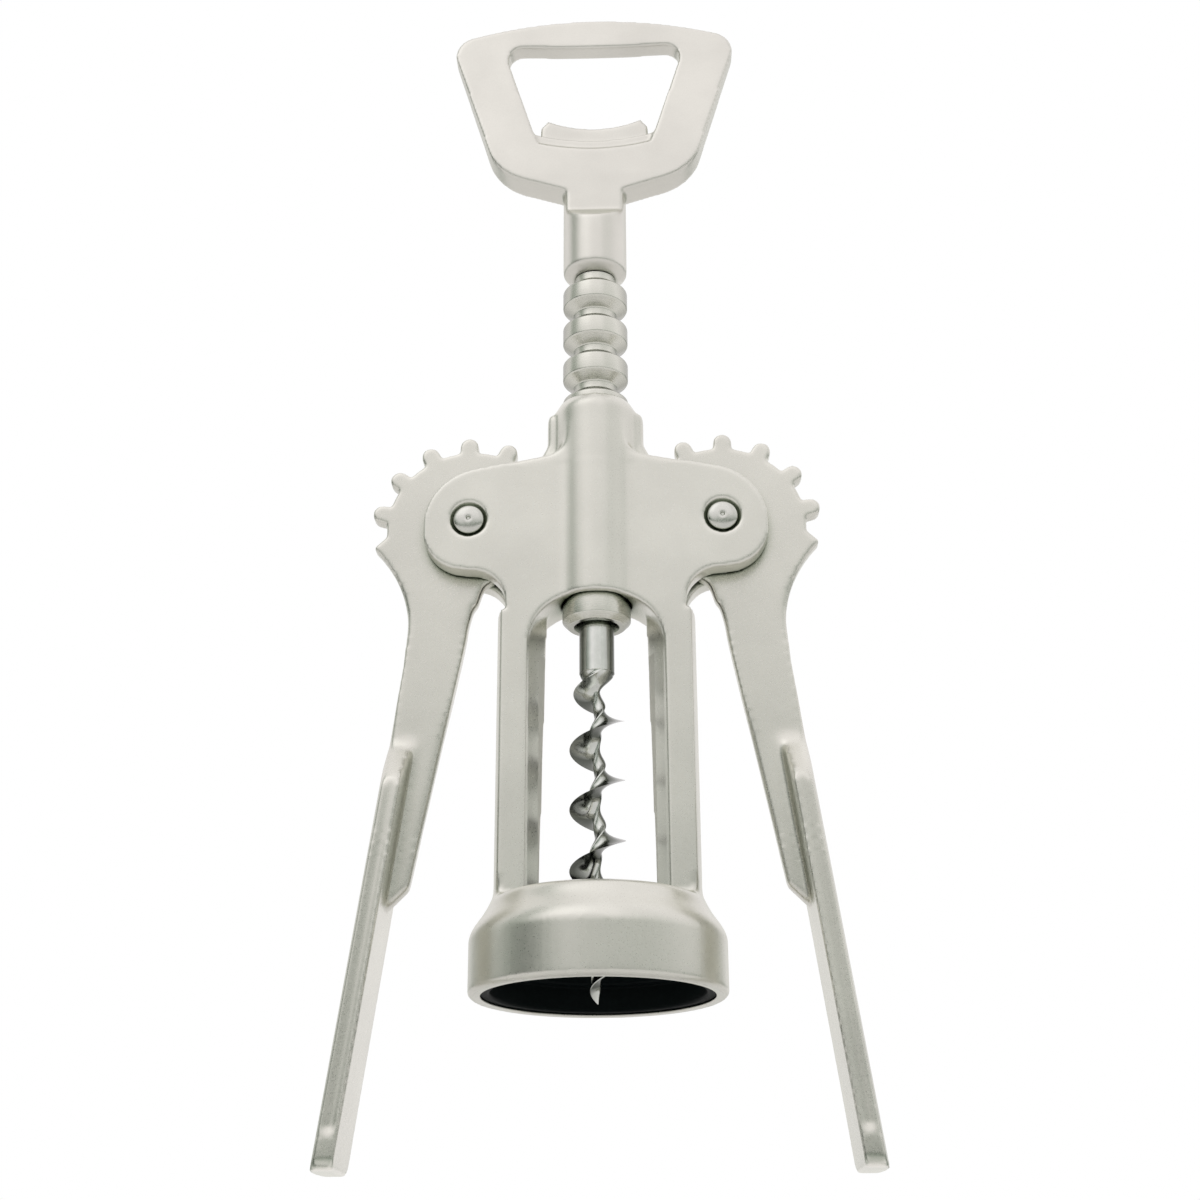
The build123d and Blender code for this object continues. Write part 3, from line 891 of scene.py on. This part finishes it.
@dataclass
class Worm:
    """The bladed worm: a thin petal that winds round a slim core, under a plain shank."""

    tip: float = -1.0
    shank_bottom: float = 54.8
    shank_top: float = 67.12
    shank_radius: float = 3.03
    shaft_radius: float = 2.5
    shaft_top: float = 144.1
    radius: float = 4.7
    core_radius: float = 1.08
    core_offset: float = 0.35
    core_back: float = 0.5
    petal_root: float = 1.0
    upper_hollow: float = 1.12
    upper_edge: float = 0.03
    lower_hollow: float = 1.3
    lower_edge: float = 0.02
    pitch: float = 10.4
    taper: float = 10.0
    tip_reach: float = 0.12
    tip_fullness: float = 0.9
    squeeze: float = 1.35
    run_out: float = 7.5
    run_out_inset: float = 0.35
    blade_overlap: float = 0.4
    shank_run: float = 3.6
    shank_inset: float = 0.05
    shank_chamfer: float = 0.25
    start_angle: float = 155.0
    steps_per_turn: int = 72
    core_points: int = 14
    petal_points: int = 9

    @property
    def blade_top(self) -> float:
        """Return the height at which the blade ends, inside the shank."""
        return self.shank_bottom + self.blade_overlap

    def section(self) -> list[Point]:
        """Return the worm's cross-section: a flattened half core and a hollow-sided petal."""
        points: list[Point] = []
        for index in range(1, self.petal_points):
            share = index / self.petal_points
            x = share * self.radius
            upper = (self.petal_root - self.core_offset) * (1 - share) ** self.upper_hollow
            points.append((x, upper + self.upper_edge))
        upper_side = [(self.radius, 0.0)] + points[::-1]
        lower_side = [
            (x, -(self.petal_root + self.core_offset)
             * (1 - x / self.radius) ** self.lower_hollow - self.lower_edge)
            for x, _ in points
        ]
        core = []
        for index in range(self.core_points + 1):
            angle = math.pi / 2 + index / self.core_points * math.pi
            core.append((self.core_back * math.cos(angle),
                         self.core_radius * math.sin(angle) - self.core_offset))
        return upper_side + core + lower_side

    def envelope(self, z: float) -> float:
        """Return the greatest radius that the blade may have at a height."""
        above = z - self.tip
        if above < self.taper:
            share = max(above / self.taper, 0.0)
            full = math.sin(share * math.pi / 2) ** self.tip_fullness
            return self.tip_reach + (self.radius - self.tip_reach) * full
        below = self.blade_top - z
        if below < self.run_out:
            share = max(below / self.run_out, 0.0)
            least = self.shank_radius - self.run_out_inset
            gain = self.radius - self.shank_radius + self.run_out_inset
            return least + gain * math.sin(share * math.pi / 2)
        return self.radius

    def swell(self, place: Vector) -> Vector:
        """Move a point of the section towards the shank's round, near the shank.

        Args:
            place: a point of the wound blade, in millimetres.

        Returns:
            The point where it belongs.
        """
        share = 1 - (self.blade_top - place.z) / self.shank_run
        share = min(max(share, 0.0), 1.0)
        share = share * share * (3 - 2 * share)
        reach = math.hypot(place.x, place.y)
        if reach == 0 or share == 0:
            return place
        scale = 1 + share * ((self.shank_radius - self.shank_inset) / reach - 1)
        return Vector((place.x * scale, place.y * scale, place.z))

    def blade(self) -> bmesh.types.BMesh:
        """Wind the section upwards and trim it to the worm's envelope.

        Returns:
            The closed blade, in metres.
        """
        bm = bmesh.new()
        start = Matrix.Rotation(math.radians(self.start_angle), 4, "Z")
        ring = [bm.verts.new(start @ Vector((x, y, self.tip))) for x, y in self.section()]
        bm.faces.new(ring)
        height = self.blade_top - self.tip
        turns = height / self.pitch
        steps = round(turns * self.steps_per_turn)
        bmesh.ops.spin(bm, geom=bm.faces[:], cent=(0, 0, 0), axis=(0, 0, 1),
                       dvec=(0, 0, height / steps), angle=turns * FULL_TURN, steps=steps)
        for vert in bm.verts:
            reach = math.hypot(vert.co.x, vert.co.y)
            limit = self.envelope(vert.co.z)
            squeeze = min(limit / self.radius * self.squeeze, 1.0)
            scale = min(limit, reach * squeeze) / reach if reach > 0 else 1.0
            vert.co.x *= scale
            vert.co.y *= scale
            vert.co = self.swell(vert.co)
        bmesh.ops.scale(bm, vec=(MM, MM, MM), verts=bm.verts[:])
        bmesh.ops.remove_doubles(bm, verts=bm.verts[:], dist=MERGE_DISTANCE)
        bmesh.ops.recalc_face_normals(bm, faces=bm.faces[:])
        return bm

    def shank(self) -> bmesh.types.BMesh:
        """Turn the shank and the shaft that carries the sleeve.

        Returns:
            The closed turned shape, in metres.
        """
        outline: list[Point] = [
            (0.0, self.shank_bottom),
            (self.shank_radius - self.shank_chamfer, self.shank_bottom),
            (self.shank_radius, self.shank_bottom + self.shank_chamfer),
            (self.shank_radius, self.shank_top),
            (self.shaft_radius, self.shank_top), (self.shaft_radius, self.shaft_top),
            (0.0, self.shaft_top),
        ]
        return turn(outline, self.steps_per_turn, closed=False)

    def build(self) -> bpy.types.Object:
        """Join blade and shank and dress them.

        Returns:
            The piece, riding on the turning unit.
        """
        bm = self.blade()
        join(bm, self.shank())
        piece = finish_mesh(bm, "worm_ground", WORM_STEEL.build(), smooth_angle=WORM_ANGLE)
        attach(piece, "turning_unit")
        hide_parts("worm")
        return piece


# ---- camera, light and floor ---------------------------------------------------------------

HALF_CIRCLE, CIRCLE = 180, 360

# The light at angles in degrees: of elevation, then of bearing, where 0 is towards the camera.
HEIGHTS = ((-90, 0.70), (-40, 0.60), (-12, 0.22), (4, 0.20), (7.5, 0.36), (11, 0.62), (15, 0.71),
           (19, 0.78), (25, 0.92), (37, 0.99), (60, 1.02), (90, 1.0))
LOW_RING = ((-180, 1.05), (-130, 0.9), (-104, 1.25), (-85, 0.8), (-72, 0.12), (-56, 0.12),
            (-42, 0.85), (-26, 1.38), (-12, 1.1), (2, 0.95), (12, 0.9), (37, 1.0), (66, 1.22),
            (84, 1.42), (101, 1.4), (122, 0.75), (150, 1.4), (180, 1.05))
HIGH_RING = ((-180, 0.95), (-108, 0.95), (-97, 0.85), (-90, 0.42), (-74, 0.46), (-62, 0.85),
             (-45, 1.0), (24, 1.02), (36, 0.84), (60, 0.86), (90, 0.95), (180, 0.95))
BACKDROP = ((-160, 1.0), (-138, 0.0), (138, 0.0), (160, 1.0))
RING_PEAK = 1.5                     # the rings go through their ramps as shares of this

# Stop and colour: the light's tint by its level, and the floor's tones by its noise.
TINT = ((0.0, (0.80, 1.0, 0.80, 1.0)), (0.5, (0.95, 1.0, 0.93, 1.0)),
        (0.9, (1.03, 1.0, 1.01, 1.0)))
FLOOR_TONES = ((0.3, (0.90, 0.90, 0.89, 1.0)), (0.7, (0.93, 0.93, 0.92, 1.0)))


def angle_stops(table: Stops, whole: float, peak: float = 1.0) -> list[tuple[float, float]]:
    """Return a table of angles as ramp stops, where the ramp covers the whole angle."""
    return [(0.5 + degrees / whole, value / peak) for degrees, value in table]


@dataclass
class PhotoCamera:
    """Camera low in front of the tool, in millimetres; tilt and roll are in radians."""

    distance: float = 293.04
    drop: float = 48.81
    tilt: float = 0.3833462
    yaw: float = 1.7
    roll: float = -0.0046
    focal_px: float = 1809.07
    centre_px: Point = (596.54, 596.80)
    image_px: float = 1200.0
    sensor_mm: float = 36.0
    clip: Point = (0.01, 50.0)

    def build(self) -> bpy.types.Object:
        """Place the camera and make it the scene's own.

        Returns:
            The camera.
        """
        data = bpy.data.cameras.new("photo_camera")
        data.sensor_width = self.sensor_mm
        data.lens = self.focal_px / self.image_px * self.sensor_mm
        data.shift_x = (self.image_px / 2 - self.centre_px[0]) / self.image_px
        data.shift_y = (self.centre_px[1] - self.image_px / 2) / self.image_px
        data.clip_start, data.clip_end = self.clip
        camera = bpy.data.objects.new("photo_camera", data)
        bpy.context.scene.collection.objects.link(camera)
        camera.matrix_world = (
            Matrix.Rotation(math.radians(self.yaw), 4, "Z")
            @ Matrix.Translation((0.0, -self.distance * MM, -self.drop * MM))
            @ Matrix.Rotation(math.pi / 2 + self.tilt, 4, "X")
            @ Matrix.Rotation(self.roll, 4, "Z")
        )
        bpy.context.scene.camera = camera
        return camera


@dataclass
class Studio:
    """White studio: bright above and behind, dark low in front, with a flag on the left."""

    floor_height: float = -26.75
    floor_half: float = 6.0
    floor_fade: Point = (0.16, 0.6)
    floor_bounce: float = 0.9
    floor_grain: float = 60.0
    floor_detail: float = 5.0
    clear_reach: float = 20.0
    level: float = 1.0
    key_energy: float = 0.2
    key_size: float = 0.5
    key_place: Sequence[float] = (-0.35, -0.45, 0.75)
    key_aim: Sequence[float] = (0.0, 0.0, 0.06)
    high_start: float = 9.0
    high_span: float = 16.0
    zenith_start: float = 55.0
    zenith_span: float = 30.0

    def climb(self, graph: NodeGraph, rise: bpy.types.NodeSocket, start: float,
              span: float) -> bpy.types.NodeSocket:
        """Add a mask that grows from 0 to 1 with the elevation.

        Args:
            graph: the world's nodes.
            rise: the elevation, from 0 straight down to 1 straight up.
            start: the elevation at which it starts, in degrees.
            span: the degrees over which it grows.

        Returns:
            The mask's socket.
        """
        return graph.maths("MULTIPLY_ADD", rise, HALF_CIRCLE / span,
                           -(0.5 + start / HALF_CIRCLE) * HALF_CIRCLE / span, clamp=True)

    def light(self, graph: NodeGraph) -> bpy.types.NodeSocket:
        """Return the light's colour in every direction.

        Args:
            graph: the world's nodes.

        Returns:
            The colour socket.
        """
        way = graph.split(graph.add("ShaderNodeTexCoord").outputs["Generated"])
        rise = graph.maths("MULTIPLY_ADD", graph.maths("ARCSINE", way["Z"]), 1 / math.pi, 0.5)
        bearing = graph.maths("ARCTAN2", way["X"], graph.maths("MULTIPLY", way["Y"], -1.0))
        bearing = graph.maths("MULTIPLY_ADD", bearing, 1 / FULL_TURN, 0.5)
        height = graph.ramp(rise, angle_stops(HEIGHTS, HALF_CIRCLE))
        low_ring = graph.ramp(bearing, angle_stops(LOW_RING, CIRCLE, RING_PEAK))
        high_ring = graph.ramp(bearing, angle_stops(HIGH_RING, CIRCLE, RING_PEAK))
        ring = graph.blend(self.climb(graph, rise, self.high_start, self.high_span),
                           low_ring, high_ring)
        ring = graph.blend(1.0, ring, (RING_PEAK,) * 3 + (1.0,), "MULTIPLY")
        ring = graph.blend(self.climb(graph, rise, self.zenith_start, self.zenith_span),
                           ring, WHITE)
        light = graph.blend(1.0, height, ring, "MULTIPLY")
        light = graph.blend(graph.ramp(bearing, angle_stops(BACKDROP, CIRCLE)), light, WHITE)
        grey = graph.add("ShaderNodeRGBToBW")
        graph.link(light, grey.inputs[0])
        return graph.blend(1.0, light, graph.ramp(grey.outputs[0], TINT), "MULTIPLY")

    def world(self) -> None:
        """Fill the world with the studio's light, and show white to the camera."""
        world = bpy.data.worlds.new("studio_world")
        bpy.context.scene.world = world
        world.use_nodes = True
        graph = NodeGraph(world.node_tree)
        ambient = graph.add("ShaderNodeBackground", {"Strength": self.level})
        graph.link(self.light(graph), ambient.inputs["Color"])
        white = graph.add("ShaderNodeBackground", {"Color": WHITE, "Strength": 1.0})
        seen = graph.add("ShaderNodeLightPath").outputs["Is Camera Ray"]
        graph.surface(graph.mix(seen, ambient.outputs[0], white.outputs[0]),
                      "ShaderNodeOutputWorld")

    def floor_finish(self) -> bpy.types.Material:
        """Make the floor's finish: pale, with the tool's shadow, and clear from below.

        Returns:
            The floor's material.
        """
        material, graph = new_material("pale_floor")
        place = graph.add("ShaderNodeTexCoord").outputs["Object"]
        far = graph.add("ShaderNodeVectorMath", operation="LENGTH")
        graph.link(place, far.inputs[0])
        near_edge, far_edge = self.floor_fade
        fade = graph.ramp(far.outputs["Value"], [(near_edge, 0.0), (far_edge, 1.0)], ease=True)
        ray = graph.add("ShaderNodeLightPath").outputs
        seen = ray["Is Camera Ray"]
        grain = graph.noise(place, self.floor_grain, self.floor_detail)
        tone = graph.ramp(grain, FLOOR_TONES)
        dim = graph.blend(1.0, tone, (self.floor_bounce,) * 3 + (1.0,), "MULTIPLY")
        pale = graph.add("ShaderNodeBsdfDiffuse")
        graph.link(graph.blend(seen, dim, tone), pale.inputs["Color"])
        glow = graph.add("ShaderNodeEmission", {"Color": WHITE, "Strength": 1.0})
        bright = graph.maths("MULTIPLY", fade, seen)
        lit = graph.mix(bright, pale.outputs[0], glow.outputs[0])
        back = graph.add("ShaderNodeNewGeometry").outputs["Backfacing"]
        below = graph.maths("MULTIPLY", back, seen)
        near = graph.maths("LESS_THAN", ray["Ray Length"], self.clear_reach * MM)
        near = graph.maths("MULTIPLY", near, graph.maths("SUBTRACT", 1.0, seen))
        clear = graph.add("ShaderNodeBsdfTransparent").outputs[0]
        graph.surface(graph.mix(graph.maths("MAXIMUM", below, near), lit, clear))
        return material

    def floor(self) -> bpy.types.Object:
        """Lay the floor under the levers' tips.

        Returns:
            The floor, which is not part of the tool.
        """
        bm = bmesh.new()
        bmesh.ops.create_grid(bm, x_segments=2, y_segments=2, size=self.floor_half)
        bmesh.ops.translate(bm, vec=(0, 0, self.floor_height * MM), verts=bm.verts[:])
        floor = finish_mesh(bm, "floor", self.floor_finish())
        return floor

    def key(self) -> bpy.types.Object:
        """Hang one soft lamp above, in front and to the left, for a gentle shadow.

        Returns:
            The lamp.
        """
        data = bpy.data.lights.new("soft_key", "AREA")
        data.energy = self.key_energy
        data.size = self.key_size
        lamp = bpy.data.objects.new("soft_key", data)
        bpy.context.scene.collection.objects.link(lamp)
        lamp.location = self.key_place
        aim = Vector(self.key_aim) - lamp.location
        lamp.rotation_euler = aim.to_track_quat("-Z", "Y").to_euler()
        return lamp

    def build(self) -> None:
        """Set the view transform and build world, floor and lamp."""
        bpy.context.scene.view_settings.view_transform = "Standard"
        self.world()
        self.floor()
        self.key()


# ---- the tool ------------------------------------------------------------------------------


def report(piece: bpy.types.Object) -> None:
    """Log a piece's name and face count."""
    LOG.info("%s: %d faces", piece.name, len(piece.data.polygons))


def main() -> None:
    """Build the camera, the studio and every piece of the tool, in order."""
    logging.basicConfig(level=logging.INFO)
    PhotoCamera().build()
    Studio().build()
    pieces = [
        FrameCasting("frame", "frame_body", CASTING, grid=0.36,
                     zones=FRAME_ZONES, kept_share=0.62),
        BottleCollar(),
        Rivet(Side.RIGHT),
        Rivet(Side.LEFT),
        RackSleeve(),
        SoftCasting("handle", "turning_unit", GRIP),
        Worm(),
        SoftCasting("right_lever", "right_lever", LEVER, grid=0.28, zones=LEVER_ZONES),
        SoftCasting("left_lever", "left_lever", LEVER, grid=0.28, zones=LEVER_ZONES),
    ]
    for piece in pieces:
        report(piece.build())


if __name__ == "__main__":
    main()
